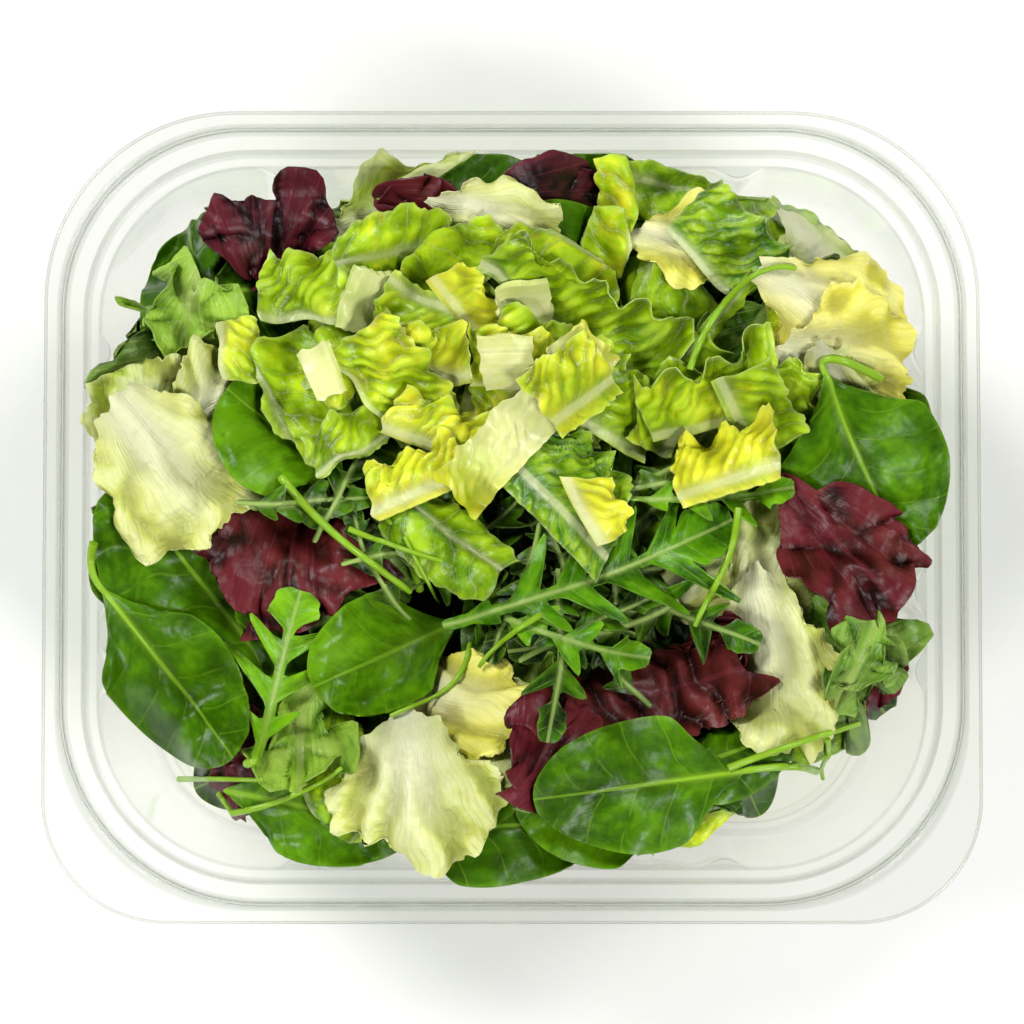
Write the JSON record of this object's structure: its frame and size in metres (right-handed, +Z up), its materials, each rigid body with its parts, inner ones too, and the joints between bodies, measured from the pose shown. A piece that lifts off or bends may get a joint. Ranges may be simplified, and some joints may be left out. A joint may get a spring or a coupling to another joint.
{
  "type": "pot of salad leaves",
  "caption": "Open clear plastic pot with a wide flange and fluted walls, heaped with mixed salad leaves: spinach, rocket, lettuce and red leaf.",
  "frame": {"origin": "centre of the flange's outline, on the plane that the pot stands on", "axes": "+Z up, +X to the right along the longer side, -Y to the front, the side with the tighter flange corners"},
  "size_m": [0.19, 0.165, 0.0712],
  "materials": {
    "clear_plastic": "clear thermoformed plastic, glossy",
    "leaf": "fresh leaves, from dark spinach green to yellow-green, cream and dark red, with a soft sheen"
  },
  "bodies": {
    "root": {"pot": "clear_plastic", "salad_leaves": "leaf"}
  },
  "joints": []
}
